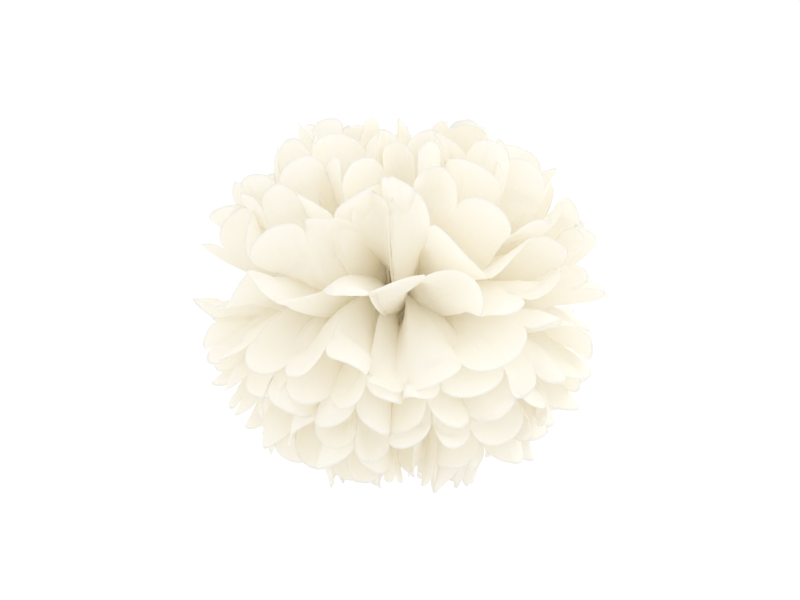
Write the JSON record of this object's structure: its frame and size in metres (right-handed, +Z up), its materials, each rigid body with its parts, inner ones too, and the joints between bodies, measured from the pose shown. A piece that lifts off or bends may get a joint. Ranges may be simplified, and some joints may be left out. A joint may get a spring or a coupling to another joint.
{
  "type": "tissue paper pom pom",
  "caption": "Hanging party pom pom: tissue sheets pleated together, tied round the middle with wire and fluffed out into a full ball of round-ended petals.",
  "frame": {"origin": "middle of the tie, from which the ball hangs: the centre of the gathered waist of the sheets", "axes": "+Z up along the ball's axis and the hanging direction, through the wire's eye; the pleats run along X through the tie; -Y faces the viewer, looking at the gap between the two fans"},
  "size_m": [0.344, 0.3392, 0.3079],
  "materials": {
    "tissue_paper": "thin cream tissue paper, matt, lets light through",
    "tie_wire": "thin galvanised steel wire"
  },
  "bodies": {
    "root": {"tissue_sheet_01": "tissue_paper", "tissue_sheet_02": "tissue_paper", "tissue_sheet_03": "tissue_paper", "tissue_sheet_04": "tissue_paper", "tissue_sheet_05": "tissue_paper", "tissue_sheet_06": "tissue_paper", "tissue_sheet_07": "tissue_paper", "tissue_sheet_08": "tissue_paper", "tissue_sheet_09": "tissue_paper", "tissue_sheet_10": "tissue_paper", "tissue_sheet_11": "tissue_paper", "tissue_sheet_12": "tissue_paper", "tie_wire": "tie_wire"}
  },
  "joints": []
}
